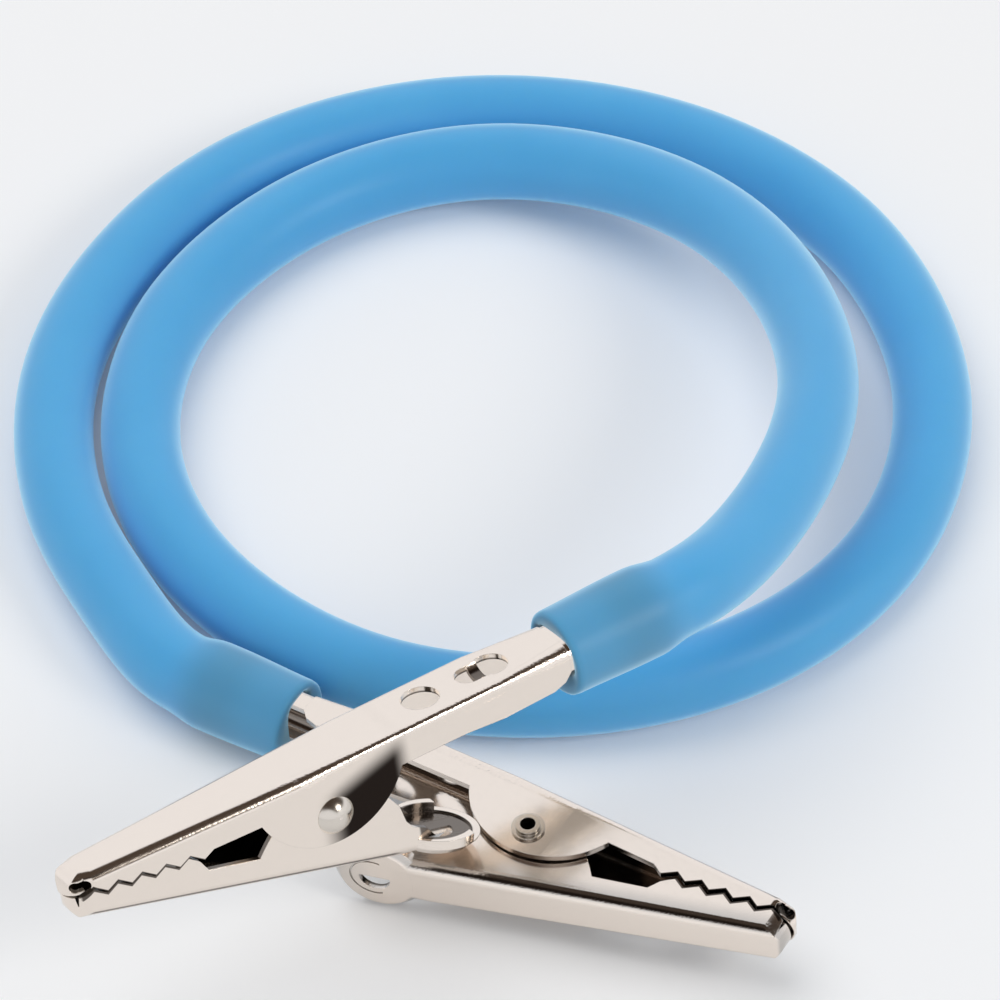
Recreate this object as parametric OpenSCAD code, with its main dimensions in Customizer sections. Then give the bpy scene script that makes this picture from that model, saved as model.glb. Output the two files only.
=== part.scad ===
// Flexible holder cord: one soft tube with a spring clip pushed into each end.
// Each clip is drawn in its own frame: X towards the jaw tips, Z towards the
// top face, the rivet's axis along Y through the origin.

/* [Tube] */
// Outer diameter of the soft tube
tube_od = 6; // [5:0.1:7]
// Bore of the soft tube
tube_id = 4; // [3:0.1:4.6]
// Outer diameter where the tube is stretched over a clip's tail
sleeve_od = 6.6; // [6.2:0.1:7.4]
// Bore where the tube is stretched over a clip's tail
sleeve_id = 5; // [4.9:0.05:5.4]
// Length of clip tail inside the tube
sleeve_len = 7.5; // [6:0.5:9]
// How much deeper clip a is pushed in than clip b
clip_a_push = 0.7; // [0:0.1:1]
// Length over which the stretched end narrows to the plain tube
sleeve_taper = 2.5; // [1.5:0.5:3.5]

/* [Clip sheet] */
// Thickness of the sheet metal
sheet = 0.45; // [0.35:0.01:0.5]
// Rivet axis to the tip of the jaws
jaw_reach = 19.9; // [19.6:0.1:20.6]
// Rivet axis to the mouth of the tube
tail_reach = 20.8; // [20:0.2:24]
// Height of the top face above the rivet axis
top_rise = 3.9; // [3.7:0.05:4.2]
// Width of the upper half across its ears
body_w = 5.15; // [5.05:0.05:5.8]
// Width of the jaws at their tips
nose_w = 3.4; // [3:0.05:3.6]
// Width of the rolled tail inside the tube
barrel_w = 4.4; // [4:0.05:4.5]
// Outside radius of the bends along the jaws
bend_r = 0.85; // [0.6:0.05:1]
// Outside radius of the bends along the tail
tail_bend_r = 0.5; // [0.5:0.05:0.8]
// Outside radius of the rolled tail's bends
barrel_r = 1.3; // [1:0.05:1.4]
// Lower edge of the upper half's side walls above the rivet axis
wall_line = 1.2; // [1:0.05:1.5]

/* [Ears] */
// Radius of the round ears that carry the rivet
ear_r = 6.1; // [5.9:0.05:6.2]
// How far the ears reach below the rivet axis
ear_drop = 2.13; // [1.9:0.01:2.3]
// Gap between an ear and the lower half's side wall
ear_gap = 0.11; // [0.1:0.01:0.18]

/* [Teeth] */
// Number of teeth along each jaw
tooth_count = 5; // [3:1:5]
// Length of the plain nose in front of the last tooth
tooth_land = 1.8; // [1.7:0.05:2]
// Depth of the teeth
tooth_depth = 0.59; // [0.4:0.01:0.65]
// Rivet axis to the first tooth's tip
tooth_start = 10; // [9.9:0.05:10.1]
// Height of the first tooth's tip above the rivet axis
tooth_height = 1.19; // [1.1:0.01:1.3]
// Rise of the tooth line over each millimetre towards the tips
tooth_slope = 0.127; // [0.1:0.001:0.13]
// Gap between the teeth of the closed jaws
mesh_gap = 0.23; // [0.12:0.01:0.25]

/* [Lower half] */
// Lower face below the rivet axis
heel_drop = 4.95; // [4.6:0.05:5.1]
// Lower face above the rivet axis at the tips
chin_z = 0.3; // [0.1:0.05:0.5]
// Outside radius of the lower half's bends
heel_r = 0.9; // [0.6:0.05:1]
// Rivet axis to the end of the thumb pad
lever_reach = 11.5; // [11:0.1:12]
// Diameter of the thumb pad
pad_d = 6.5; // [6:0.1:6.8]
// Height of the thumb pad's sloped lower edge
pad_r = 0.5; // [0.3:0.05:0.7]
// Height of the thumb pad's rim
pad_rim = 1.2; // [1:0.05:1.4]

/* [Holes] */
// Diameter of the round hole in the tail
wire_hole_d = 2.8; // [2:0.05:3]
// Rivet axis to the round hole
wire_hole_x = 9.2; // [8.5:0.1:9.8]
// Length of the slot that the wire strap crosses
slot_len = 4.1; // [3.6:0.1:4.2]
// Rivet axis to the middle of that slot
slot_x = 14.2; // [14.1:0.1:15]

/* [Rivet] */
// Diameter of the hollow rivet's shank
rivet_d = 1.8; // [1.6:0.05:1.9]
// Bore of the hollow rivet
rivet_bore = 1.1; // [0.9:0.05:1.2]
// Diameter of the rivet's domed head
head_d = 2.8; // [2.5:0.05:3]
// Height of the domed head
head_h = 0.75; // [0.6:0.05:0.85]
// Diameter of the rolled rim's foot
rim_foot_d = 2.4; // [2.3:0.05:2.6]
// Height of the rolled rim
rim_h = 0.5; // [0.4:0.05:0.6]
// Running clearance round the rivet's shank
pivot_gap = 0.05; // [0.02:0.01:0.08]

/* [Spring] */
// Diameter of the spring wire
wire_d = 0.5; // [0.4:0.02:0.55]
// Turns of the spring
spring_turns = 2.5; // [2.5:1:2.5]
// Gap between the spring and the side walls
spring_gap = 0.13; // [0.1:0.01:0.2]
// Length of the spring's two legs
leg_len = 4.2; // [3.5:0.1:4.4]

/* [Hidden] */

// Where each clip's rivet axis crosses its middle, and how the clip is turned:
// [roll about X, pitch about Y, heading about Z]
clip_a_at = [-7.8, -5.75, 14.8];
clip_a_turn = [15.8, -0.3, 214];
clip_b_at = [6.9, -1.05, 4.2];
clip_b_turn = [-85.8, -2, -31.7];

tail_end = tail_reach + sleeve_len;
barrel_x = tail_reach - 0.8;
taper_x = barrel_x - 6;
shoulder_x = 2;
wall_front = jaw_reach - 1.4;
ear_x = -0.17;
ear_z = ear_r - ear_drop;
notch_z = wall_line + 0.47;
ear_front = ear_x + sqrt(pow(ear_r, 2) - pow(ear_z - notch_z, 2));
hollow_z = top_rise - sheet;
tail_line = wall_line + 0.7;
tube_z = (top_rise + tail_line) / 2 - 0.7;
lower_w = body_w - 2 * (sheet + ear_gap);
shank_hole_d = rivet_d + 2 * pivot_gap;
tooth_pitch = (jaw_reach - tooth_land - tooth_start) / (tooth_count - 0.47);
spring_pitch = (lower_w - 2 * sheet - wire_d - 2 * spring_gap) / spring_turns;
slack = 0.01;
far = 60;

// Half width of the upper half's outside at a distance from the rivet axis.
function upper_half_w(x) =
    x > shoulder_x ? (body_w + (nose_w - body_w) * (x - shoulder_x) / (wall_front - shoulder_x)) / 2
    : body_w / 2;

// Corners of the tooth line from the rear to the front, at a height offset.
function tooth_tip(k, drop) =
    [tooth_start + k * tooth_pitch, tooth_height + k * tooth_pitch * tooth_slope - drop];
function tooth_root(k, drop) =
    [tooth_start + (k + 0.53) * tooth_pitch,
     tooth_height + tooth_depth + (k + 0.53) * tooth_pitch * tooth_slope - drop];
function tooth_line(drop, first) =
    [for (k = [0 : tooth_count - 1], part = [0, 1])
        if (k > 0 || part >= first) part == 0 ? tooth_tip(k, drop) : tooth_root(k, drop)];
function reversed(list) = [for (i = [len(list) - 1 : -1 : 0]) list[i]];

nose_root = tooth_root(tooth_count - 1, 0);
lip_r = 1.6;
nose_x = jaw_reach - 2;
meet_x = nose_root[0] + 0.95;
meet_z = top_rise - 1.5;
upper_nose_r = nose_w / 2 - 0.38;

module side_slab(w) {
    rotate([90, 0, 0]) linear_extrude(w, center = true) children();
}

module both_sides() {
    children();
    mirror([0, 1, 0]) children();
}

// Rounds the outer edge between corner a and corner b on the +Y side. The bend's
// radius runs from ra to rb; face is 1 for an edge of the top, -1 for the bottom.
module edge_round(a, b, ra, rb, face) {
    from = a - [0, ra, face * ra];
    run = b - [0, rb, face * rb] - from;
    length = norm(run);
    lap = 0.3;
    grow = (rb - ra) / length;
    translate(from) rotate([0, -asin(run[2] / length), atan2(run[1], run[0])])
        rotate([face > 0 ? 0 : -90, 0, 0]) difference() {
            translate([-lap, 0, 0]) cube([length + 2 * lap, max(ra, rb) + 1, max(ra, rb) + 1]);
            translate([-2 * lap, 0, 0]) rotate([0, 90, 0])
                cylinder(r1 = ra - 2 * lap * grow, r2 = rb + 2 * lap * grow, h = length + 4 * lap,
                    $fn = 48);
        }
}

// Side view of the upper half: straight top, round ears, teeth.
module upper_side() {
    body = concat(
        [[-barrel_x, top_rise], [-barrel_x, tail_line], [0.6 - barrel_x, wall_line + 0.1],
         [1.6 - barrel_x, wall_line - 0.2], [-taper_x, wall_line - 0.15], [3 - taper_x, wall_line + 0.1],
         [ear_x, wall_line + 0.15], [ear_x, notch_z], [tooth_start - 0.82, notch_z]],
        tooth_line(0, 0),
        [[meet_x, meet_z + 0.05], [jaw_reach + 1, meet_z], [jaw_reach + 1, top_rise]]);
    polygon(body);
    intersection() {
        translate([ear_x, ear_z]) circle(r = ear_r, $fn = 120);
        translate([-far / 2, -far]) square([far, far + top_rise]);
    }
}

// Corners of the upper half's plan: distance, half width, bend radius.
upper_edge = [[-barrel_x, barrel_w / 2 + 0.05, 1.05], [-taper_x, body_w / 2, tail_bend_r],
    [-3, body_w / 2, tail_bend_r], [shoulder_x, body_w / 2, bend_r],
    [nose_x, upper_half_w(nose_x), bend_r], [jaw_reach + 1, upper_half_w(nose_x) - 1.2, bend_r]];

// Plan of the upper half, drawn in by a wall thickness.
module upper_plan(inset, spare) {
    edge = [for (i = [0 : len(upper_edge) - 1]) [upper_edge[i][0] - (i == 0 ? spare : 0), upper_edge[i][1]]];
    intersection() {
        polygon(concat([for (p = edge) [p[0], p[1] - inset]],
            [for (p = reversed(edge)) [p[0], inset - p[1]]]));
        nose_plan(jaw_reach - inset, upper_nose_r - inset);
    }
}

// Everything behind a rounded nose that ends at the given distance.
module nose_plan(reach, r) {
    translate([reach - r, 0]) circle(r = r, $fn = 64);
    translate([reach - r - far, -far / 2]) square([far, far]);
}

// Rounds the edge across the nose. The bend's axis passes through [x, z]; face is
// 1 at the top, -1 at the bottom, and start is where the bend meets that face.
module front_round(x, z, r, face, start) {
    translate([x, 0, z]) difference() {
        translate([start, -far / 2, face > 0 ? 0 : -r - 1]) cube([r + 1, far, r + 1]);
        rotate([90, 0, 0]) cylinder(r = r, h = 2 * far, center = true, $fn = 64);
    }
}

// The bends between the top face and the side walls.
module upper_bends() {
    both_sides() for (i = [0 : len(upper_edge) - 2]) let (p = upper_edge[i], q = upper_edge[i + 1])
        edge_round([p[0], p[1], top_rise], [q[0], q[1], top_rise], p[2], q[2], 1);
}

// Section of the rolled tail, seen along X.
module barrel_section(inset) {
    w = barrel_w / 2 - inset;
    r = barrel_r - inset;
    top = top_rise - inset;
    difference() {
        translate([-w, tail_line - inset * 2]) square([2 * w, top - tail_line + inset * 2]);
        for (side = [-1, 1]) translate([side * (w - r), top - r]) difference() {
            translate([side > 0 ? 0 : -2 * r, 0]) square(2 * r);
            circle(r = r, $fn = 48);
        }
    }
}

module barrel() {
    translate([-tail_end, 0, 0]) rotate([90, 0, 90]) linear_extrude(tail_end - barrel_x + slack)
        difference() {
            barrel_section(0);
            barrel_section(sheet);
        }
}

// The strap for a wire: a strip across the slot, pressed down into the tail.
module wire_strap() {
    dip_r = 1.6;
    strap_w = 0.8;
    translate([-slot_x + 0.15, 0, hollow_z + dip_r - 0.55]) intersection() {
        rotate([0, 90, 0]) difference() {
            cylinder(r = dip_r, h = strap_w, center = true, $fn = 64);
            cylinder(r = dip_r - sheet * 0.8, h = strap_w + 1, center = true, $fn = 64);
        }
        translate([-1, -far / 2, -far]) cube([2, far, far - dip_r + 0.55 + sheet]);
    }
}

module slot_lobes() {
    back_r = 1.35;
    front_r = 1.05;
    translate([-slot_x - slot_len / 2 + back_r, 0]) circle(r = back_r, $fn = 48);
    translate([-slot_x + slot_len / 2 - front_r, 0]) circle(r = front_r, $fn = 48);
    translate([-slot_x - 0.7, -front_r]) square([1.7, 2 * front_r]);
}

// The open corners of the nose, between its front and its side walls.
module nose_windows() {
    for (side = [-1, 1]) translate([jaw_reach - 1.75, 0, top_rise - 0.88])
        rotate([0, 0, side * 60]) rotate([90, 0, 90]) linear_extrude(4) {
            square([0.7, 0.76], center = true);
            for (end = [-1, 1]) translate([end * 0.35, 0]) circle(r = 0.42, $fn = 32);
        }
}

// Side view of the inside, bevelled behind the front bend.
module upper_hollow() {
    bevel_x = jaw_reach - sheet;
    polygon([[-barrel_x - slack, -far / 2], [-barrel_x - slack, hollow_z + 0.5],
        [bevel_x - 1.05, hollow_z + 0.5], [bevel_x + 0.5, hollow_z - 1.05], [bevel_x + 0.5, -far / 2]]);
}

module upper_jaw() {
    difference() {
        union() {
            intersection() {
                side_slab(far) upper_side();
                translate([0, 0, -far / 2]) linear_extrude(far) upper_plan(0, 0);
            }
            barrel();
        }
        intersection() {
            translate([0, 0, hollow_z - far]) linear_extrude(far) upper_plan(sheet, 0.1);
            side_slab(far) upper_hollow();
        }
        upper_bends();
        front_round(jaw_reach - lip_r, top_rise - lip_r, lip_r, 1, 0);
        nose_windows();
        rotate([90, 0, 0]) cylinder(d = shank_hole_d, h = far, center = true, $fn = 48);
        translate([-wire_hole_x, 0, 0]) cylinder(d = wire_hole_d, h = far, $fn = 48);
        linear_extrude(far) slot_lobes();
    }
    wire_strap();
}

// Side view of the lower half's channel.
lever_slope = 0.25;
bend_x = -4.8;
front_x = jaw_reach - 0.9;
lower_front = jaw_reach - 0.15;
chin_r = 1;
floor_slope = (chin_z + heel_drop) / (front_x - 0.8);
bend_z = -heel_drop + bend_x * floor_slope;
pad_x = -lever_reach + pad_d / 2;
pad_z = bend_z + (pad_x - bend_x) * lever_slope;
pad_tilt = -atan(lever_slope);
lobe_r = 2.4;
scoop_x = pad_x + pad_d / 2;

function floor_z(x) = x < bend_x ? bend_z + (x - bend_x) * lever_slope : -heel_drop + x * floor_slope;

module lower_side() {
    polygon(concat(
        [[pad_x + 0.6, floor_z(pad_x + 0.6)], [bend_x, bend_z],
         [lower_front + 1, floor_z(lower_front + 1)], [lower_front + 1, meet_z - mesh_gap],
         [meet_x, meet_z + 0.05 - mesh_gap]],
        [nose_root - [0, mesh_gap]],
        reversed(tooth_line(mesh_gap, 1)),
        [[tooth_start + 0.15, tooth_height - 0.35], [tooth_start - 0.35, tooth_height - 1.26],
         [ear_front + 0.3, tooth_height - 2.29], [ear_front - 0.2, tooth_height - 1.7],
         [ear_front - 0.9, tooth_height - 0.95], [lobe_r * 0.5, lobe_r * 0.866],
         [-lobe_r * 0.866, lobe_r * 0.5], [scoop_x + 0.84, -0.6], [scoop_x - 0.15, pad_z + 5],
         [scoop_x - 0.45, pad_z + 3.6], [scoop_x - 0.9, pad_z + 2.9], [scoop_x - 1.9, pad_z + 2.35],
         [scoop_x - 2.6, pad_z + pad_rim]]));
    circle(r = lobe_r, $fn = 72);
}

// Plan of the lower half: straight along the lever, then narrower to the tips.
tip_half_w = nose_w / 2 - 0.1;
lower_nose_r = tip_half_w + 0.03;
module lower_plan(inset) {
    edge = [[pad_x - 3, lower_w / 2], [bend_x, lower_w / 2], [front_x, tip_half_w],
        [lower_front + 1, tip_half_w - 0.04]];
    intersection() {
        polygon(concat([for (p = edge) [p[0], p[1] - inset]],
            [for (p = reversed(edge)) [p[0], inset - p[1]]]));
        nose_plan(lower_front - inset, lower_nose_r - inset);
    }
}

// The inside of the channel: everything above the floor sheet.
module lower_hollow() {
    lift = sheet * sqrt(1 + pow(floor_slope, 2));
    polygon([[pad_x - 3, floor_z(pad_x - 3) + lift], [bend_x, bend_z + lift],
        [lower_front + 1, floor_z(lower_front + 1) + lift], [lower_front + 1, far], [pad_x - 3, far]]);
}

// The bends between the floor and the side walls.
module lower_bends() {
    both_sides() {
        edge_round([bend_x, lower_w / 2, bend_z], [lower_front, tip_half_w, floor_z(lower_front)],
            heel_r, heel_r, -1);
        edge_round([pad_x, lower_w / 2, pad_z], [bend_x, lower_w / 2, bend_z], heel_r, heel_r, -1);
    }
}

module thumb_pad() {
    half = pad_d / 2;
    translate([pad_x, 0, pad_z]) rotate([0, pad_tilt, 0]) difference() {
        union() {
            cylinder(r1 = half - pad_r, r2 = half, h = pad_r, $fn = 96);
            translate([0, 0, pad_r]) cylinder(r = half, h = pad_rim - pad_r, $fn = 96);
        }
        translate([0, 0, sheet]) cylinder(r = half - sheet - pad_r * 0.2, h = pad_rim, $fn = 96);
        // open towards the channel, low at the lever's end
        translate([0, sheet - lower_w / 2, sheet]) cube([pad_d, lower_w - 2 * sheet, pad_rim]);
        translate([-pad_d, -half, pad_r + 0.1]) cube([pad_d - half * 0.45, pad_d, pad_rim]);
        // window of the lanced tab, with a groove round it
        translate([-0.2, 0.05, -1]) intersection() {
            cylinder(r = 1.15, h = 3, $fn = 48);
            translate([-2, -0.1, 0]) cube([4, 2, 3]);
        }
        translate([-0.3, 0, -1]) difference() {
            cylinder(r = 1.75, h = 1.12, $fn = 64);
            translate([0, 0, -1]) cylinder(r = 1.6, h = 3, $fn = 64);
            translate([0.6, -3, -1]) cube([6, 6, 3]);
        }
    }
}

// The slits at the nose's corners, between its front and its side walls.
module nose_slits() {
    for (side = [-1, 1]) translate([lower_front - lower_nose_r, 0, 0])
        rotate([0, 0, side * 46]) rotate([90, 0, 90]) linear_extrude(3)
            polygon([[-0.24, meet_z + 0.5], [0.24, meet_z + 0.5], [0.04, meet_z - 0.85],
                [-0.04, meet_z - 0.85]]);
}

// The bend between the floor and the nose.
module chin_round() {
    slant = atan(floor_slope);
    x = lower_front - chin_r;
    front_round(x, floor_z(x) + chin_r / cos(slant), chin_r, -1, chin_r * sin(slant));
}

module lower_jaw() {
    difference() {
        union() {
            difference() {
                intersection() {
                    side_slab(far) lower_side();
                    translate([0, 0, -far / 2]) linear_extrude(far) lower_plan(0);
                }
                intersection() {
                    side_slab(far) lower_hollow();
                    translate([0, 0, -far / 2]) linear_extrude(far) lower_plan(sheet);
                }
                lower_bends();
                // the channel stops where the pad begins
                translate([pad_x, 0, pad_z]) rotate([0, pad_tilt, 0]) translate([0, 0, -1])
                    cylinder(r = pad_d / 2 - sheet - pad_r * 0.2 - 0.05, h = pad_rim + 1, $fn = 96);
            }
            thumb_pad();
        }
        chin_round();
        nose_slits();
        rotate([90, 0, 0]) cylinder(d = shank_hole_d, h = far, center = true, $fn = 48);
    }
}

module rivet() {
    half = body_w / 2;
    rotate([-90, 0, 0]) rotate_extrude($fn = 64) difference() {
        union() {
            translate([0, -half - rim_h]) square([rivet_d / 2, 2 * half + rim_h + head_h * 0.5]);
            translate([0, -half - rim_h * 0.4]) square([rim_foot_d / 2, rim_h * 0.4]);
            intersection() {
                translate([0, half + head_h - 1.7]) circle(r = 1.7, $fn = 64);
                translate([0, half]) square([head_d / 2, head_h]);
            }
        }
        translate([-1, -half - rim_h - 1]) square([1 + rivet_bore / 2, 2 * half + rim_h + 1]);
        translate([-2, -far]) square([2, 2 * far]);
    }
}

// Centre line of the torsion spring: a leg under the top sheet, the turns
// round the rivet, and a leg along the lower half's floor.
coil_r = rivet_d / 2 + wire_d / 2 + 0.35;
coil_y = spring_turns * spring_pitch / 2;
top_leg_z = hollow_z - wire_d / 2 - 0.1;
floor_leg_z = floor_z(-leg_len) + sheet + wire_d / 2 + 0.15;
coil_steps = 24;
function coil_point(i) = let (a = 90 + 360 * i / coil_steps)
    [coil_r * cos(a), -coil_y + spring_pitch * i / coil_steps, coil_r * sin(a)];
coil_line = [for (i = [0 : spring_turns * coil_steps]) coil_point(i)];
upper_leg = [for (s = [1, 0.6, 0.25]) [-leg_len * s, -coil_y, coil_r + (top_leg_z - coil_r) * s]];
lower_leg = [for (s = [0.25, 0.6, 1])
    [-leg_len * s, coil_y, -coil_r + (floor_leg_z + coil_r) * s]];
spring_line = concat(upper_leg, coil_line, lower_leg);

// A closed tube of round rings along a line of points.
function along(line, i) =
    let (a = line[max(i - 1, 0)], b = line[min(i + 1, len(line) - 1)]) (b - a) / norm(b - a);
function ring(at, t, axis, r, sides) =
    let (u = cross(axis, t), side = u / norm(u), up = cross(t, side))
    [for (k = [0 : sides - 1]) let (a = 360 * (k + 0.5) / sides - 90)
        at + r * (cos(a) * side + sin(a) * up)];
function quads(row, sides, flip) =
    [for (k = [0 : sides - 1], h = [0, 1]) let (a = row * sides + k,
        b = row * sides + (k + 1) % sides, c = a + sides, d = b + sides)
        h == 0 ? (flip ? [a, c, b] : [a, b, c]) : (flip ? [b, c, d] : [b, d, c])];

module swept_wire(line, r, sides, axis) {
    rings = [for (i = [0 : len(line) - 1]) ring(line[i], along(line, i), axis, r, sides)];
    last = (len(line) - 1) * sides;
    polyhedron(
        points = [for (one = rings) each one],
        faces = concat(
            [for (row = [0 : len(line) - 2]) each quads(row, sides, false)],
            [[for (k = [0 : sides - 1]) sides - 1 - k]],
            [[for (k = [0 : sides - 1]) last + k]]));
}

module spring() {
    swept_wire(spring_line, wire_d / 2, 6, [0, 1, 0]);
}

// A point of a clip, in the part's frame.
function turned(p, turn) =
    let (cr = cos(turn[0]), sr = sin(turn[0]), cp = cos(turn[1]), sp = sin(turn[1]),
        ch = cos(turn[2]), sh = sin(turn[2]),
        a = [p[0], p[1] * cr - p[2] * sr, p[1] * sr + p[2] * cr],
        b = [a[0] * cp + a[2] * sp, a[1], a[2] * cp - a[0] * sp])
    [b[0] * ch - b[1] * sh, b[0] * sh + b[1] * ch, b[2]];
function on_clip(p, at, turn) = at + turned(p, turn);
module place(at, turn) {
    translate(at) rotate(turn) children();
}

// Guide points of the tube's centre line. The line is a smooth curve drawn
// towards them; over each clip's tail they lie on the tail's own axis.
sleeve_stops = [-4, 0, 4, 8, 12];
function sleeve_line(at, turn, push) =
    [for (s = sleeve_stops) on_clip([push - tail_reach - s, 0, tube_z], at, turn)];
route_middle = [
    [-23.5, 25, 3], [-28, 33.5, 3], [-29.5, 44.5, 3], [-28, 53.5, 3], [-24.5, 61.5, 3],
    [-19, 69.5, 3], [-10, 76, 3], [2, 79.5, 3], [14.5, 78, 3], [24.5, 73, 3],
    [32, 65.5, 3], [36, 57, 3], [38, 47.5, 3], [37, 38, 3], [33.5, 29, 3],
    [27, 21.5, 3], [18.5, 16.5, 3], [8.5, 14.5, 3], [-2, 15.5, 3], [-10.5, 20, 3],
    [-17.5, 27, 3], [-21.5, 35, 3], [-23, 44, 3], [-21, 55, 3], [-14.5, 64.5, 3],
    [-6.5, 70.5, 3], [3, 73, 3.5], [13, 70, 5], [22, 62.5, 7], [27.5, 50.5, 9.5],
    [29, 37.5, 12], [26, 26, 14], [22, 18, 15]];
route = concat(sleeve_line(clip_b_at, clip_b_turn, 0), route_middle,
    reversed(sleeve_line(clip_a_at, clip_a_turn, clip_a_push)));

function blend(p, q, r, s, t) =
    (pow(1 - t, 3) * p + (3 * pow(t, 3) - 6 * t * t + 4) * q
        + (1 + 3 * t + 3 * t * t - 3 * pow(t, 3)) * r + pow(t, 3) * s) / 6;
function curve(line, steps) = concat(
    [for (i = [0 : len(line) - 4], k = [0 : steps - 1])
        blend(line[i], line[i + 1], line[i + 2], line[i + 3], k / steps)],
    [let (n = len(line)) blend(line[n - 4], line[n - 3], line[n - 2], line[n - 1], 1)]);
tube_line = curve(route, 2);
tube_run = [for (i = 0, run = 0; i < len(tube_line);
    i = i + 1, run = i < len(tube_line) ? run + norm(tube_line[i] - tube_line[i - 1]) : run) run];
tube_len = tube_run[len(tube_run) - 1];

// 1 over a clip's tail, 0 on the plain tube, smooth between.
function stretch(run) = let (past = min(run, tube_len - run) - sleeve_len,
    k = min(max(past / sleeve_taper, 0), 1)) 1 - k * k * (3 - 2 * k);

function least_gap(line, run, far_apart) = min([for (i = [0 : len(line) - 1],
    j = [i + 1 : 1 : len(line) - 1]) if (run[j] - run[i] > far_apart) norm(line[i] - line[j])]);

module tube() {
    sides = 12;
    n = len(tube_line);
    outer = [for (i = [0 : n - 1]) each ring(tube_line[i], along(tube_line, i), [0, 0, 1],
        (tube_od + (sleeve_od - tube_od) * stretch(tube_run[i])) / 2, sides)];
    inner = [for (i = [0 : n - 1]) each ring(tube_line[i], along(tube_line, i), [0, 0, 1],
        (tube_id + (sleeve_id - tube_id) * stretch(tube_run[i])) / 2, sides)];
    total = n * sides;
    function shifted(list) = [for (f = list) [for (v = f) v + total]];
    polyhedron(
        points = concat(outer, inner),
        faces = concat(
            [for (row = [0 : n - 2]) each quads(row, sides, true)],
            shifted([for (row = [0 : n - 2]) each quads(row, sides, false)]),
            [for (k = [0 : sides - 1], h = [0, 1]) let (a = k, b = (k + 1) % sides)
                h == 0 ? [a, b, a + total] : [b, b + total, a + total]],
            [for (k = [0 : sides - 1], h = [0, 1]) let (a = total - sides + k,
                b = total - sides + (k + 1) % sides)
                h == 0 ? [b, a, a + total] : [b, a + total, b + total]]));
    echo(tube_length = tube_len,
        tube_gap = least_gap(tube_line, tube_run, 3 * tube_od) - tube_od);
}

module tube_piece() { color([0.36, 0.66, 0.88]) tube(); }
module jaw_metal() { color([0.82, 0.79, 0.75]) children(); }
module pin_metal() { color([0.75, 0.73, 0.7]) children(); }
module wire_metal() { color([0.55, 0.54, 0.53]) children(); }

tube_piece();  // tube
place(clip_a_at, clip_a_turn) jaw_metal() upper_jaw();  // clip_a_upper_jaw
place(clip_a_at, clip_a_turn) jaw_metal() lower_jaw();  // clip_a_lower_jaw
place(clip_a_at, clip_a_turn) pin_metal() rivet();  // clip_a_rivet
place(clip_a_at, clip_a_turn) wire_metal() spring();  // clip_a_spring
place(clip_b_at, clip_b_turn) jaw_metal() upper_jaw();  // clip_b_upper_jaw
place(clip_b_at, clip_b_turn) jaw_metal() lower_jaw();  // clip_b_lower_jaw
place(clip_b_at, clip_b_turn) pin_metal() rivet();  // clip_b_rivet
place(clip_b_at, clip_b_turn) wire_metal() spring();  // clip_b_spring
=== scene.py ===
"""Flexible holder cord: a soft blue tube with a nickel-plated spring clip in each end."""
import math

import bpy
from mathutils import Euler, Matrix, Vector


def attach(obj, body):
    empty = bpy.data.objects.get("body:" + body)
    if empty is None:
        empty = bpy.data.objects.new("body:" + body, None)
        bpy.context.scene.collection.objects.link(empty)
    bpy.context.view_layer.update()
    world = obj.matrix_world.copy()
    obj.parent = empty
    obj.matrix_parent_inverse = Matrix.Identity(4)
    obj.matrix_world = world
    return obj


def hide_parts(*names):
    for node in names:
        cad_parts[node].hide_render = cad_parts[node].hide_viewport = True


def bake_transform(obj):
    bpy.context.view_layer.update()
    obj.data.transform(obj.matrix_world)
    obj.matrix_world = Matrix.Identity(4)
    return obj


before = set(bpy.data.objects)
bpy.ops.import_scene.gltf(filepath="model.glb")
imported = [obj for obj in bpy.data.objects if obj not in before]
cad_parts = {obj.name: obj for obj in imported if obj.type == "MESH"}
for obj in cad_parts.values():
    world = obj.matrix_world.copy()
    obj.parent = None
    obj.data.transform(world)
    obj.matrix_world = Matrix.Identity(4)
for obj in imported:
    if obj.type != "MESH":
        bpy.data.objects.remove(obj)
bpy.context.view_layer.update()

MM = 0.001

CAMERA_AT = (0.00475, -0.27613, 0.31413)
CAMERA_TILT = 45
CAMERA_LENS = 212.3
CAMERA_SENSOR = 36.0

# Sizes are in millimetres and turns in degrees, as in the part's source.
# Where each clip's rivet sits and how the clip is turned.
CLIP_AT = {"a": (-7.8, -5.75, 14.8), "b": (6.9, -1.05, 4.2)}
CLIP_TURN = {"a": (15.8, -0.3, 214.0), "b": (-85.8, -2.0, -31.7)}
TAIL_REACH = 20.8
CLIP_PUSH = {"a": 0.7, "b": 0.0}
TUBE_Z = 2.2

# The tube's straight stops over a tail, and its route between the two tails.
SLEEVE_STOPS = (-4, 0, 4, 8, 12)
ROUTE_MIDDLE = [
    (-23.5, 25, 3), (-28, 33.5, 3), (-29.5, 44.5, 3), (-28, 53.5, 3), (-24.5, 61.5, 3),
    (-19, 69.5, 3), (-10, 76, 3), (2, 79.5, 3), (14.5, 78, 3), (24.5, 73, 3),
    (32, 65.5, 3), (36, 57, 3), (38, 47.5, 3), (37, 38, 3), (33.5, 29, 3),
    (27, 21.5, 3), (18.5, 16.5, 3), (8.5, 14.5, 3), (-2, 15.5, 3), (-10.5, 20, 3),
    (-17.5, 27, 3), (-21.5, 35, 3), (-23, 44, 3), (-21, 55, 3), (-14.5, 64.5, 3),
    (-6.5, 70.5, 3), (3, 73, 3.5), (13, 70, 5), (22, 62.5, 7), (27.5, 50.5, 9.5),
    (29, 37.5, 12), (26, 26, 14), (22, 18, 15)]
TUBE_SIDES = 40
LINE_STEPS = 8
TUBE_RADIUS = 3.0
BORE_RADIUS = 2.2
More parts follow.
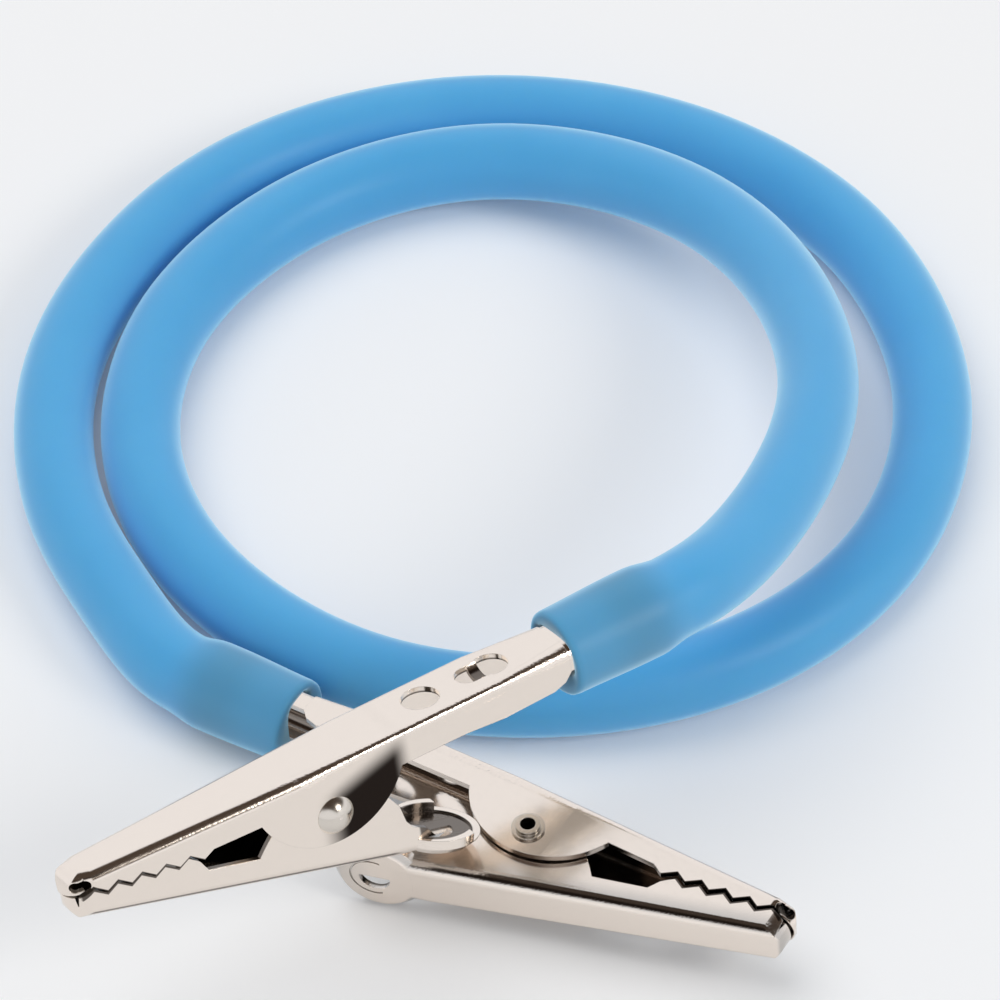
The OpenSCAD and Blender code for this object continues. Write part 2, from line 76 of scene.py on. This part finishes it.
# Over a tail the tube is wider. A pair says how far from the mouth a change starts
# and how long it takes.
SLEEVE_RADIUS = 3.2
SLEEVE_SWELL = 0.15
SWELL_SPAN = (0.0, 6.5)
SLEEVE_SPAN = (7.4, 2.6)
BORE_EXTRA = 0.3
BORE_SPAN = (7.5, 2.5)
HUG_SPAN = (7.6, 2.4)
SLEEVE_SHADE_SPAN = (5.5, 5.0)
TAIL_END_IN = (2.2, 3.2)
TAIL_END_OUT = (6.6, 3.4)
BORE_START = 1.2
MOUTH_LIP = 0.36
MOUTH_SHADE = 2.6
# The clip's flat tail inside the tube: half its width and height, and its middle's rise.
TAIL_HALF_WIDTH = 2.27
TAIL_HALF_HEIGHT = 1.44
TAIL_RISE = 0.32

# The keel is the lower half's folded floor: its drop under the rivet, and its slope.
KEEL_DROP = 4.95
KEEL_SLOPE = 0.2885
# The pad is the dished end of the lever.
PAD_X = -8.25
PAD_DROP = 7.2
TOOTH_START = 10.0
TOOTH_PITCH = 1.788
TOOTH_DEPTH = 0.59
TOOTH_RISE = 0.227
TOOTH_HEIGHT = 1.19
TOOTH_GAP = 0.23
TOOTH_SPLIT = 0.53
# Side walls: where each starts to narrow, its half width there, and its slope.
UPPER_WALL = (2.0, 2.575, 0.054)
UPPER_NOSE_WALL = (17.9, 1.716, 0.4)
LOWER_WALL = (-4.8, 2.015, 0.0174)
# Round noses seen from above: centre and radius.
UPPER_NOSE = (18.58, 1.32)
LOWER_NOSE = (18.12, 1.63)
# Noses seen from the side: centre, radius, and the height where they start to round off.
UPPER_PROFILE = (18.3, 1.6, 2.3)
LOWER_PROFILE = (18.75, 1.0, 1.47)
# Depths under the outer skin where a face starts and ends to count as an inner one,
# and the same for the height over the folded floor.
INNER_FACE = (0.05, 0.12)
INNER_FLOOR = (0.2, 0.36)
FAR = 1000.0
# The plated sheet: its rounded edges, its bump, and the fine peel along its folds.
EDGE_RADIUS = 0.06
BUMP_HEIGHT = 0.02
PEEL_SCALE = 6500.0
BEND_PEEL = 3.5

SHEET = (0.83, 0.748, 0.675)
# Painted shade on the inner faces, cut edges and pad dish.
INNER_PAINTED_SHADE = (0.07, 0.055, 0.045)
# Painted shadow of the gap along the teeth.
TOOTH_PAINTED_SHADOW = (0.05, 0.038, 0.03)
# Painted dark reflection on the rear of clip a's ear.
EAR_PAINTED_REFLECTION = (0.016, 0.011, 0.009)
# Painted shade towards clip b's lower bend.
BEND_PAINTED_SHADE = (0.36, 0.36, 0.355)
RIVET = (0.68, 0.63, 0.57)
SPRING = (0.4, 0.37, 0.34)
# Painted light: the glow that mirror rays see on clip a's sheet.
MIRRORED_PAINTED_GLOW = (0.3, 0.28, 0.25)
BLACK = (0, 0, 0, 1)

DEEP_BLUE = (0.08, 0.4, 0.77, 1)
LIGHT_BLUE = (0.105, 0.445, 0.82, 1)
# Painted shade on the tube: over the tails, at the tails' ends and in the mouths and bore.
SLEEVE_PAINTED_SHADE = (0.1, 0.36, 0.6, 1)
TAIL_END_PAINTED_SHADE = (0.08, 0.24, 0.37, 1)
MOUTH_PAINTED_SHADE = (0.04, 0.125, 0.18, 1)
# Painted sheen and glow at the tube's outline.
RIM_PAINTED_SHEEN = (0.42, 0.75, 0.95, 1)
RIM_PAINTED_GLOW = (0.1, 0.3, 0.42, 1)

# What polished metal mirrors: the ranges of direction over which the dim ceiling
# gives way to the wall behind, to the ground and to the front.
WALL_RANGE = (0.36, 0.50)
GROUND_RANGE = (0.30, 0.46)
FRONT_RANGE = (-0.75, -0.62)
DIM_CEILING = (0.07, 0.05, 0.038, 1)
BRIGHT_WALL = (1.0, 1.01, 1.04, 1)
AIR = (0.5, 0.51, 0.53, 1)
BACKDROP = (0.97, 0.97, 0.97, 1)
LAMPS_AIM = (0, 0.02, 0)


def clip_matrix(clip):
    """The clip's own frame, in metres."""
    turn = Euler([math.radians(v) for v in CLIP_TURN[clip]], "XYZ")
    return Matrix.Translation(Vector(CLIP_AT[clip]) * MM) @ turn.to_matrix().to_4x4()


# ---------------------------------------------------------------- camera

def studio_camera():
    data = bpy.data.cameras.new("studio_camera")
    data.lens, data.sensor_width = CAMERA_LENS, CAMERA_SENSOR
    data.clip_start, data.clip_end = 0.01, 20.0
    camera = bpy.data.objects.new("studio_camera", data)
    bpy.context.scene.collection.objects.link(camera)
    camera.location = CAMERA_AT
    camera.rotation_euler = (math.radians(CAMERA_TILT), 0, 0)
    bpy.context.scene.camera = camera


studio_camera()


# ---------------------------------------------------------------- shader groups

def socket(group, name, kind, way, value=None):
    made = group.interface.new_socket(name=name, in_out=way, socket_type=kind)
    if value is not None:
        made.default_value = value
    return made


class Wires:
    """Short calls for placing nodes and joining them."""

    def __init__(self, tree):
        self.tree = tree

    def add(self, kind, **settings):
        node = self.tree.nodes.new(kind)
        for key, value in settings.items():
            setattr(node, key, value)
        return node

    def join(self, source, target):
        self.tree.links.new(source, target)

    def feed(self, target, value):
        if hasattr(value, "is_output"):
            self.join(value, target)
        else:
            target.default_value = value

    def math(self, operation, a, b=None):
        node = self.add("ShaderNodeMath", operation=operation)
        self.feed(node.inputs[0], a)
        if b is not None:
            self.feed(node.inputs[1], b)
        return node.outputs[0]

    def chain(self, operation, *values):
        """The same sum over any number of values."""
        made = values[0]
        for value in values[1:]:
            made = self.math(operation, made, value)
        return made

    def times(self, *values):
        return self.chain("MULTIPLY", *values)

    def plus(self, *values):
        return self.chain("ADD", *values)

    def minus(self, a, b):
        return self.math("SUBTRACT", a, b)

    def least(self, *values):
        return self.chain("MINIMUM", *values)

    def most(self, *values):
        return self.chain("MAXIMUM", *values)

    def length(self, a, b):
        return self.math("SQRT", self.plus(self.times(a, a), self.times(b, b)))

    def ramp(self, value, low, high, to_low=0.0, to_high=1.0):
        """Smooth step of a value between two limits."""
        node = self.add("ShaderNodeMapRange", interpolation_type="SMOOTHSTEP")
        self.feed(node.inputs["Value"], value)
        limits = {"From Min": low, "From Max": high, "To Min": to_low, "To Max": to_high}
        for key, number in limits.items():
            self.feed(node.inputs[key], number)
        return node.outputs["Result"]

    def fall(self, value, low, high):
        """1 under the low limit, 0 over the high one."""
        return self.ramp(value, low, high, 1.0, 0.0)

    def mix(self, factor, a, b):
        node = self.add("ShaderNodeMix", data_type="RGBA")
        self.feed(node.inputs["Factor"], factor)
        self.feed(node.inputs["A"], a)
        self.feed(node.inputs["B"], b)
        return node.outputs["Result"]

    def noise(self, vector, scale, detail=3.0, rough=0.5):
        node = self.add("ShaderNodeTexNoise")
        self.join(vector, node.inputs["Vector"])
        node.inputs["Scale"].default_value = scale
        node.inputs["Detail"].default_value = detail
        node.inputs["Roughness"].default_value = rough
        return node.outputs["Fac"]


def plating_group():
    """Fine rolling grain, soft waviness and dull spots of nickel-plated sheet."""
    group = bpy.data.node_groups.new("nickel_plating", "ShaderNodeTree")
    socket(group, "Place", "NodeSocketVector", "INPUT")
    socket(group, "Grain", "NodeSocketFloat", "INPUT", 1.0)
    socket(group, "Height", "NodeSocketFloat", "OUTPUT")
    socket(group, "Dullness", "NodeSocketFloat", "OUTPUT")
    w = Wires(group)
    given, out = w.add("NodeGroupInput"), w.add("NodeGroupOutput")
    stretch = w.add("ShaderNodeMapping", vector_type="POINT")
    stretch.inputs["Scale"].default_value = (350, 2600, 2600)
    w.join(given.outputs["Place"], stretch.inputs["Vector"])
    grain = w.noise(stretch.outputs[0], 1.0, 4.0, 0.6)
    wave = w.noise(given.outputs["Place"], 420.0, 2.0, 0.45)
    spots = w.noise(given.outputs["Place"], 1900.0, 3.0, 0.6)
    lifted = w.plus(w.times(grain, 0.25), wave)
    w.join(w.times(lifted, given.outputs["Grain"]), out.inputs["Height"])
    w.join(w.ramp(spots, 0.45, 0.75), out.inputs["Dullness"])
    return group


def skin_group():
    """Slight mottling and a fine satin skin of moulded silicone."""
    group = bpy.data.node_groups.new("silicone_skin", "ShaderNodeTree")
    socket(group, "Place", "NodeSocketVector", "INPUT")
    socket(group, "Mottle", "NodeSocketFloat", "OUTPUT")
    socket(group, "Height", "NodeSocketFloat", "OUTPUT")
    w = Wires(group)
    given, out = w.add("NodeGroupInput"), w.add("NodeGroupOutput")
    w.join(w.noise(given.outputs["Place"], 130.0, 3.0, 0.5), out.inputs["Mottle"])
    w.join(w.noise(given.outputs["Place"], 3200.0, 2.0, 0.5), out.inputs["Height"])
    return group


PLATING = plating_group()
SKIN = skin_group()


def clip_place(w, clip):
    """A point's place in the clip's own frame, in metres."""
    where = w.add("ShaderNodeTexCoord")
    turn = w.add("ShaderNodeMapping", vector_type="TEXTURE")
    turn.inputs["Location"].default_value = [v * MM for v in CLIP_AT[clip]]
    turn.inputs["Rotation"].default_value = [math.radians(v) for v in CLIP_TURN[clip]]
    w.join(where.outputs["Object"], turn.inputs["Vector"])
    return turn.outputs["Vector"]


def new_material(name):
    material = bpy.data.materials.new(name)
    material.use_nodes = True
    shader = material.node_tree.nodes["Principled BSDF"]
    return material, Wires(material.node_tree), shader


# The masks below read a point's place in its clip's own frame, in millimetres.

def nose_depth(w, along, across, centre, radius):
    """Distance inside the round nose."""
    past = w.most(w.minus(along, centre), 0.0)
    return w.minus(radius, w.length(past, across))


def nose_profile(w, along, height, centre, radius, level, under=False):
    """Distance behind the nose's front, which rounds off past a level."""
    past = w.minus(level, height) if under else w.minus(height, level)
    past = w.most(past, 0.0)
    left = w.most(w.minus(radius ** 2, w.times(past, past)), 0.0)
    return w.minus(w.plus(w.math("SQRT", left), centre), along)


def taper(w, along, across, start, half, slope):
    """Distance inside a side wall whose half width shrinks from start on."""
    past = w.most(w.minus(along, start), 0.0)
    return w.minus(w.minus(half, w.times(past, slope)), w.math("ABSOLUTE", across))


def over_keel(w, along, height):
    """Height over the lower half's sloping floor."""
    return w.minus(height, w.minus(w.times(along, KEEL_SLOPE), KEEL_DROP))


def tooth_edge(w, along, drop):
    """Height of the tooth line, one flank of each tooth being longer than the other."""
    steps = w.times(w.minus(along, TOOTH_START), 1 / TOOTH_PITCH)
    part = w.math("FRACT", steps)
    wave = w.least(w.times(part, 1 / TOOTH_SPLIT),
                   w.times(w.minus(1.0, part), 1 / (1 - TOOTH_SPLIT)))
    return w.plus(w.times(wave, TOOTH_DEPTH), w.times(steps, TOOTH_RISE), TOOTH_HEIGHT - drop)


def tooth_range(w, along):
    return w.times(w.ramp(along, 9.9, 10.05), w.fall(along, 18.9, 19.1))


def upper_inner_shade(w, along, across, height):
    """Painted shade mask: 1 on the inner faces and cut edges of the upper half, 0 on its
    outside.
    """
    # the nose counts only at the clip's tip
    nose = w.plus(nose_depth(w, along, across, *UPPER_NOSE),
                  w.ramp(along, 18.6, 18.4, 0.0, FAR))
    depth = w.least(taper(w, along, across, *UPPER_WALL),
                    taper(w, along, across, *UPPER_NOSE_WALL),
                    nose, nose_profile(w, along, height, *UPPER_PROFILE))
    return w.times(w.ramp(depth, *INNER_FACE), w.fall(height, 3.5, 3.65))


def lower_inner_shade(w, along, across, height):
    """Painted shade mask: 1 on the inner faces and cut edges of the lower half, 0 on its
    outside.
    """
    nose = w.plus(nose_depth(w, along, across, *LOWER_NOSE),
                  w.ramp(along, 18.0, 18.15, FAR, 0.0))
    depth = w.least(taper(w, along, across, *LOWER_WALL),
                    nose, nose_profile(w, along, height, *LOWER_PROFILE, under=True))
    channel = w.times(w.ramp(depth, *INNER_FACE),
                      w.ramp(over_keel(w, along, height), *INNER_FLOOR),
                      w.ramp(along, -5.0, -4.0))
    # painted shade in the dish of the thumb pad
    out = w.minus(along, PAD_X)
    above = w.minus(w.plus(height, PAD_DROP), w.times(out, 0.25))
    dish = w.times(w.fall(w.length(out, across), 2.7, 2.85), w.ramp(above, *INNER_FLOOR))
    return w.most(channel, dish)


def upper_teeth_shadow(w, along, across, height):
    """Painted shadow mask: 1 on a thin strip along the upper teeth, the shade of the gap
    between the halves.
    """
    over = w.minus(height, tooth_edge(w, along, 0.0))
    return w.times(w.fall(over, 0.03, 0.09), tooth_range(w, along))


def lower_teeth_shadow(w, along, across, height):
    """Painted shadow mask: 1 on a thin strip along the lower teeth, the shade of the gap
    between the halves.
    """
    under = w.minus(tooth_edge(w, along, TOOTH_GAP), height)
    return w.times(w.fall(under, 0.13, 0.2), tooth_range(w, along))


def ear_reflection_patch(w, along, across, height):
    """Painted dark reflection mask: 1 on the rear of the round ear, 0 elsewhere."""
    rear = w.times(w.fall(along, -0.9, 1.5), w.ramp(along, -6.6, -5.0))
    lean = w.plus(height, w.times(w.plus(along, 5.0), 0.3))
    return w.times(rear, w.fall(lean, 2.0, 3.9))


def bend_stretch(w, along, across, height):
    """1 on the folds, where the plated sheet is stretched."""
    wide = w.math("ABSOLUTE", across)
    fold = w.times(w.ramp(height, 2.85, 3.1), w.ramp(wide, 1.75, 1.95),
                   w.ramp(along, 1.0, 8.0, 1.0, 0.25))
    keel = w.times(w.fall(over_keel(w, along, height), 0.8, 1.1), w.ramp(wide, 1.0, 1.2))
    return w.most(fold, keel)


def bend_shade(w, along, across, height):
    """Painted shade: soft grey towards the lower half's bend."""
    over = over_keel(w, along, height)
    return w.times(w.fall(over, 0.5, 2.2), w.ramp(over, 0.1, 0.3))


def nickel(name, clip, colour, roughness, grain=1.0, masks=(), glow=None):
    """Nickel-plated metal of one clip.

    Each mask paints shade or a dark reflection onto the sheet by its share; glow is painted
    light that only a mirror ray sees.
    """
    material, w, shader = new_material(name)
    place = clip_place(w, clip)
    plate = w.add("ShaderNodeGroup")
    plate.node_tree = PLATING
    w.join(place, plate.inputs["Place"])
    plate.inputs["Grain"].default_value = grain
    split = w.add("ShaderNodeSeparateXYZ")
    w.join(place, split.inputs[0])
    spot = [w.times(split.outputs[axis], 1 / MM) for axis in "XYZ"]
    dull = plate.outputs["Dullness"]
    worn_and_shaded = w.mix(w.times(dull, 0.06), (*colour, 1), (*(c * 0.82 for c in colour), 1))
    # each mask takes the place in millimetres and paints its shade or dark reflection into the
    # base colour
    for mask, share, shade in masks:
        worn_and_shaded = w.mix(w.times(mask(w, *spot), share), worn_and_shaded, (*shade, 1))
    w.join(worn_and_shaded, shader.inputs["Base Color"])
    shader.inputs["Metallic"].default_value = 1.0
    w.join(w.plus(w.times(dull, 0.03), roughness), shader.inputs["Roughness"])
    # painted light: the sheet glows for mirror rays only
    if glow:
        mirrored = w.add("ShaderNodeLightPath")
        w.join(w.mix(mirrored.outputs["Is Glossy Ray"], BLACK, (*glow, 1)),
               shader.inputs["Emission Color"])
        shader.inputs["Emission Strength"].default_value = 1.0
    round_edges = w.add("ShaderNodeBevel", samples=4)
    round_edges.inputs["Radius"].default_value = EDGE_RADIUS * MM
    bump = w.add("ShaderNodeBump")
    bump.inputs["Strength"].default_value = 0.25
    bump.inputs["Distance"].default_value = BUMP_HEIGHT * MM
    peel = w.noise(place, PEEL_SCALE, 1.0)
    rough_skin = w.times(peel, bend_stretch(w, *spot), BEND_PEEL)
    w.join(w.plus(plate.outputs["Height"], rough_skin), bump.inputs["Height"])
    w.join(round_edges.outputs["Normal"], bump.inputs["Normal"])
    w.join(bump.outputs["Normal"], shader.inputs["Normal"])
    return material


def silicone():
    """Light-blue satin silicone; painted shade over the clips' tails, painted sheen at its
    outline.
    """
    material, w, shader = new_material("blue_silicone")
    where = w.add("ShaderNodeTexCoord")
    skin = w.add("ShaderNodeGroup")
    skin.node_tree = SKIN
    w.join(where.outputs["Object"], skin.inputs["Place"])
    over_tail = w.add("ShaderNodeAttribute", attribute_name="over_tail")
    tail_end = w.add("ShaderNodeAttribute", attribute_name="tail_end")
    plain = w.mix(skin.outputs["Mottle"], DEEP_BLUE, LIGHT_BLUE)
    # painted shade where the tails sit inside, at the tails' ends, and in the mouth and bore
    dull = w.mix(over_tail.outputs["Fac"], plain, SLEEVE_PAINTED_SHADE)
    shaded = w.mix(w.times(tail_end.outputs["Fac"], 0.32), dull, TAIL_END_PAINTED_SHADE)
    mouth = w.ramp(tail_end.outputs["Fac"], 1.0, 2.4)
    shaded = w.mix(mouth, shaded, MOUTH_PAINTED_SHADE)
    # painted sheen and glow at the outline: paler colour and a faint emission where the skin
    # turns away
    facing = w.add("ShaderNodeLayerWeight")
    facing.inputs["Blend"].default_value = 0.5
    rim = w.ramp(facing.outputs["Facing"], 0.5, 1.0)
    w.join(w.mix(w.times(rim, 0.52), shaded, RIM_PAINTED_SHEEN), shader.inputs["Base Color"])
    w.join(w.mix(rim, BLACK, RIM_PAINTED_GLOW), shader.inputs["Emission Color"])
    shader.inputs["Emission Strength"].default_value = 0.33
    shader.inputs["Roughness"].default_value = 0.42
    shader.inputs["Specular IOR Level"].default_value = 0.35
    shader.inputs["Subsurface Weight"].default_value = 0.35
    shader.inputs["Subsurface Radius"].default_value = (0.3, 0.7, 1.0)
    shader.inputs["Subsurface Scale"].default_value = 2.5 * MM
    shader.inputs["Sheen Weight"].default_value = 0.45
    shader.inputs["Sheen Roughness"].default_value = 0.4
    shader.inputs["Sheen Tint"].default_value = (0.75, 0.88, 1.0, 1.0)
    bump = w.add("ShaderNodeBump")
    bump.inputs["Strength"].default_value = 0.12
    bump.inputs["Distance"].default_value = BUMP_HEIGHT * MM
    w.join(skin.outputs["Height"], bump.inputs["Height"])
    w.join(bump.outputs["Normal"], shader.inputs["Normal"])
    return material


# ---------------------------------------------------------------- tube

def sleeve_line(clip):
    """Stops along the clip's tail, from its inner end towards the loop."""
    matrix = clip_matrix(clip)
    start = CLIP_PUSH[clip] - TAIL_REACH
    return [matrix @ (Vector((start - stop, 0, TUBE_Z)) * MM) for stop in SLEEVE_STOPS]


def spline(points, steps):
    """Uniform cubic B-spline, the same curve as in the part's source."""
    made = []
    for i in range(len(points) - 3):
        p, q, r, s = points[i:i + 4]
        for k in range(steps + (i == len(points) - 4)):
            t = k / steps
            made.append(((1 - t) ** 3 * p + (3 * t ** 3 - 6 * t * t + 4) * q
                         + (1 + 3 * t + 3 * t * t - 3 * t ** 3) * r + t ** 3 * s) / 6)
    return made


def smooth(value):
    value = min(max(value, 0.0), 1.0)
    return value * value * (3 - 2 * value)


def eased(s, start, span):
    """0 up to the start and 1 after the span past it."""
    return smooth((s - start) / span)


def tube_radius(s):
    """Outer radius at a distance from the nearer mouth, in millimetres."""
    sleeve = SLEEVE_RADIUS + SLEEVE_SWELL * eased(s, *SWELL_SPAN)
    return TUBE_RADIUS + (sleeve - TUBE_RADIUS) * (1 - eased(s, *SLEEVE_SPAN))


def bore_radius(s):
    """Inner radius, a little wider over the tail."""
    return BORE_RADIUS + BORE_EXTRA * (1 - eased(s, *BORE_SPAN))


def tail_hug(direction, clip):
    """Bore radius that closes round the clip's flat tail, in millimetres."""
    turn = clip_matrix(clip).to_3x3()
    y, z = direction.dot(turn.col[1]), direction.dot(turn.col[2])
    low, high = 0.5, 3.0
    for _ in range(24):
        middle = (low + high) / 2
        reach = (abs(middle * y / TAIL_HALF_WIDTH) ** 4
                 + abs((middle * z - TAIL_RISE) / TAIL_HALF_HEIGHT) ** 4)
        low, high = (middle, high) if reach < 1 else (low, middle)
    return low


def tube_line():
    """The tube's middle line, and the length run along it at each of its points."""
    route = sleeve_line("b") + [Vector(p) * MM for p in ROUTE_MIDDLE] + sleeve_line("a")[::-1]
    line = spline(route, LINE_STEPS)
    run = [0.0]
    for before, after in zip(line, line[1:]):
        run.append(run[-1] + (after - before).length)
    return line, run


class TubeSkin:
    """Rings of points along the tube, with the painted-shade weights that its material reads.
    """

    def __init__(self):
        self.vertices, self.rings = [], []
        self.over_tail, self.tail_end = [], []

    def ring(self, at, direction, radius, s, clip=None, extra=0.0, shade=0.0):
        """A ring of the tube; with a clip's name it closes round that clip's tail."""
        side = Vector((0, 0, 1)).cross(direction).normalized()
        up = direction.cross(side)
        self.rings.append(len(self.vertices))
        free = eased(s, *HUG_SPAN)
        # weights of the painted shade over the tail and at the tail's end
        covered = 1 - eased(s, *SLEEVE_SHADE_SPAN)
        end = eased(s, *TAIL_END_IN) * (1 - eased(s, *TAIL_END_OUT))
        for k in range(TUBE_SIDES):
            a = 2 * math.pi * k / TUBE_SIDES
            out = math.cos(a) * side + math.sin(a) * up
            reach = radius
            if clip:
                reach = radius * free + (tail_hug(out, clip) + extra) * (1 - free)
            self.vertices.append(at + reach * MM * out)
            self.over_tail.append(covered)
            self.tail_end.append(max(shade, end))

    def mouth(self, at, direction, inwards, turns, clip):
        """The rounded lip of a mouth, whose inner part closes round the tail."""
        for turn in turns:
            a = math.radians(turn)
            bulge = MOUTH_LIP * math.cos(a)
            self.ring(at + inwards * MM * MOUTH_LIP * (1 - math.sin(a)), direction,
                      tube_radius(0) - MOUTH_LIP + bulge, 0, clip if turn > 90 else None,
                      MOUTH_LIP + bulge, MOUTH_SHADE * (turn - 20) / 160)

    def mesh(self, name):
        """The rings joined into one closed skin."""
        faces = []
        for j, start in enumerate(self.rings):
            after = self.rings[(j + 1) % len(self.rings)]
            for k in range(TUBE_SIDES):
                n = (k + 1) % TUBE_SIDES
                faces.append((start + k, after + k, after + n, start + n))
        mesh = bpy.data.meshes.new(name)
        mesh.from_pydata(self.vertices, [], faces)
        mesh.update()
        for layer_name in ("over_tail", "tail_end"):
            layer = mesh.attributes.new(layer_name, "FLOAT", "POINT")
            layer.data.foreach_set("value", getattr(self, layer_name))
        mesh.shade_smooth()
        return mesh


def soft_tube(material):
    line, run = tube_line()
    length = run[-1]

    def heading(i):
        return (line[min(i + 1, len(line) - 1)] - line[max(i - 1, 0)]).normalized()

    def from_mouth(i):
        return min(run[i], length - run[i]) / MM

    skin = TubeSkin()
    lip_turns = (180, 150, 120, 90, 60, 30)
    first, last = heading(0), heading(len(line) - 1)
    skin.mouth(line[0], first, first, lip_turns, "b")
    for i, at in enumerate(line):
        if from_mouth(i) >= MOUTH_LIP:
            skin.ring(at, heading(i), tube_radius(from_mouth(i)), from_mouth(i))
    skin.mouth(line[-1], last, -last, lip_turns[::-1], "a")
    # the bore, whose rings take the mouth's full painted shade
    for i in range(len(line) - 1, -1, -1):
        s = from_mouth(i)
        if s >= BORE_START:
            near = None if s > sum(HUG_SPAN) else "b" if run[i] < length / 2 else "a"
            skin.ring(line[i], heading(i), bore_radius(s), s, near, 0.0, MOUTH_SHADE)
    mesh = skin.mesh("soft_tube")
    mesh.materials.append(material)
    tube = bpy.data.objects.new("soft_tube", mesh)
    bpy.context.scene.collection.objects.link(tube)
    # the metal mirrors the pale studio, not the tube
    tube.visible_glossy = False
    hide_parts("tube")
    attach(tube, "cord")


soft_tube(silicone())


# ---------------------------------------------------------------- clips

def dress(node, material):
    body = bpy.data.objects[node]
    body.data.materials.clear()
    body.data.materials.append(material)


def wound_spring(clip, material):
    """A smooth-shaded copy of the clip's spring."""
    node = bpy.data.objects["clip_%s_spring" % clip]
    mesh = node.data.copy()
    mesh.transform(node.matrix_world)
    mesh.materials.clear()
    mesh.materials.append(material)
    mesh.shade_smooth()
    spring = bpy.data.objects.new("wound_spring_" + clip, mesh)
    bpy.context.scene.collection.objects.link(spring)
    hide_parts("clip_%s_spring" % clip)
    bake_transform(spring)


for clip in "ab":
    # each clip gets the painted shade and light of its side that shows: clip a the dark ear
    # reflection and mirrored glow, clip b the grey towards its bend
    seen_from_outside = clip == "a"
    upper = [(upper_inner_shade, 0.9 if seen_from_outside else 0.8, INNER_PAINTED_SHADE),
             (upper_teeth_shadow, 0.9, TOOTH_PAINTED_SHADOW)]
    lower = [(lower_inner_shade, 0.88, INNER_PAINTED_SHADE), (lower_teeth_shadow, 0.92, TOOTH_PAINTED_SHADOW)]
    if seen_from_outside:
        upper.append((ear_reflection_patch, 0.996, EAR_PAINTED_REFLECTION))
    else:
        lower.insert(0, (bend_shade, 0.6, BEND_PAINTED_SHADE))
    finishes = {
        "upper_jaw": nickel("nickel_sheet_" + clip, clip, SHEET, 0.15, masks=upper,
                            glow=MIRRORED_PAINTED_GLOW if seen_from_outside else None),
        "lower_jaw": nickel("nickel_lever_" + clip, clip, SHEET, 0.16, masks=lower),
        "rivet": nickel("nickel_rivet_" + clip, clip, RIVET, 0.2, 0.4)}
    for piece, finish in finishes.items():
        dress("clip_%s_%s" % (clip, piece), finish)
    wound_spring(clip, nickel("spring_steel_" + clip, clip, SPRING, 0.28, 0.3))


# ---------------------------------------------------------------- floor, light and air

def pale_floor():
    mesh = bpy.data.meshes.new("pale_floor")
    half = 1.5
    corners = [(-half, -half, 0), (half, -half, 0), (half, half, 0), (-half, half, 0)]
    mesh.from_pydata(corners, [], [(0, 1, 2, 3)])
    floor = bpy.data.objects.new("pale_floor", mesh)
    bpy.context.scene.collection.objects.link(floor)
    material, _, shader = new_material("pale_paper")
    shader.inputs["Base Color"].default_value = (0.9, 0.9, 0.9, 1)
    shader.inputs["Roughness"].default_value = 0.8
    shader.inputs["Specular IOR Level"].default_value = 0.1
    shader.inputs["Emission Color"].default_value = (1, 1, 1, 1)
    shader.inputs["Emission Strength"].default_value = 0.07
    mesh.materials.append(material)


def soft_lamp(name, place, size, power, colour=(1, 1, 1), mirrored=True):
    data = bpy.data.lights.new(name, "AREA")
    data.shape, data.size = "DISK", size
    data.energy, data.color = power, colour
    lamp = bpy.data.objects.new(name, data)
    bpy.context.scene.collection.objects.link(lamp)
    lamp.location = place
    lamp.visible_glossy = mirrored
    aim = Vector(LAMPS_AIM) - Vector(place)
    lamp.rotation_euler = aim.to_track_quat("-Z", "Y").to_euler()


def studio_air():
    """Even pale air; polished metal sees a bright wall, ground and front, and a dim ceiling."""
    world = bpy.data.worlds.new("studio_air")
    bpy.context.scene.world = world
    world.use_nodes = True
    w = Wires(world.node_tree)
    ground = world.node_tree.nodes["Background"]
    way = w.add("ShaderNodeTexCoord")
    split = w.add("ShaderNodeSeparateXYZ")
    w.join(way.outputs["Generated"], split.inputs[0])
    wall = w.ramp(split.outputs["Y"], *WALL_RANGE)
    ground_light = w.fall(split.outputs["Z"], *GROUND_RANGE)
    front = w.fall(split.outputs["Y"], *FRONT_RANGE)
    seen = w.mix(w.most(wall, ground_light, front), DIM_CEILING, BRIGHT_WALL)
    path = w.add("ShaderNodeLightPath")
    air = w.mix(path.outputs["Is Glossy Ray"], AIR, seen)
    w.join(w.mix(path.outputs["Is Camera Ray"], air, BACKDROP), ground.inputs["Color"])
    ground.inputs["Strength"].default_value = 1.0


pale_floor()
studio_air()
soft_lamp("lamp_overhead", (-0.25, 0.15, 0.75), 0.85, 2.4, mirrored=False)
soft_lamp("lamp_right", (0.62, -0.28, 0.5), 0.3, 1.6, (1.0, 0.97, 0.92))

bpy.context.scene.view_settings.view_transform = "Standard"
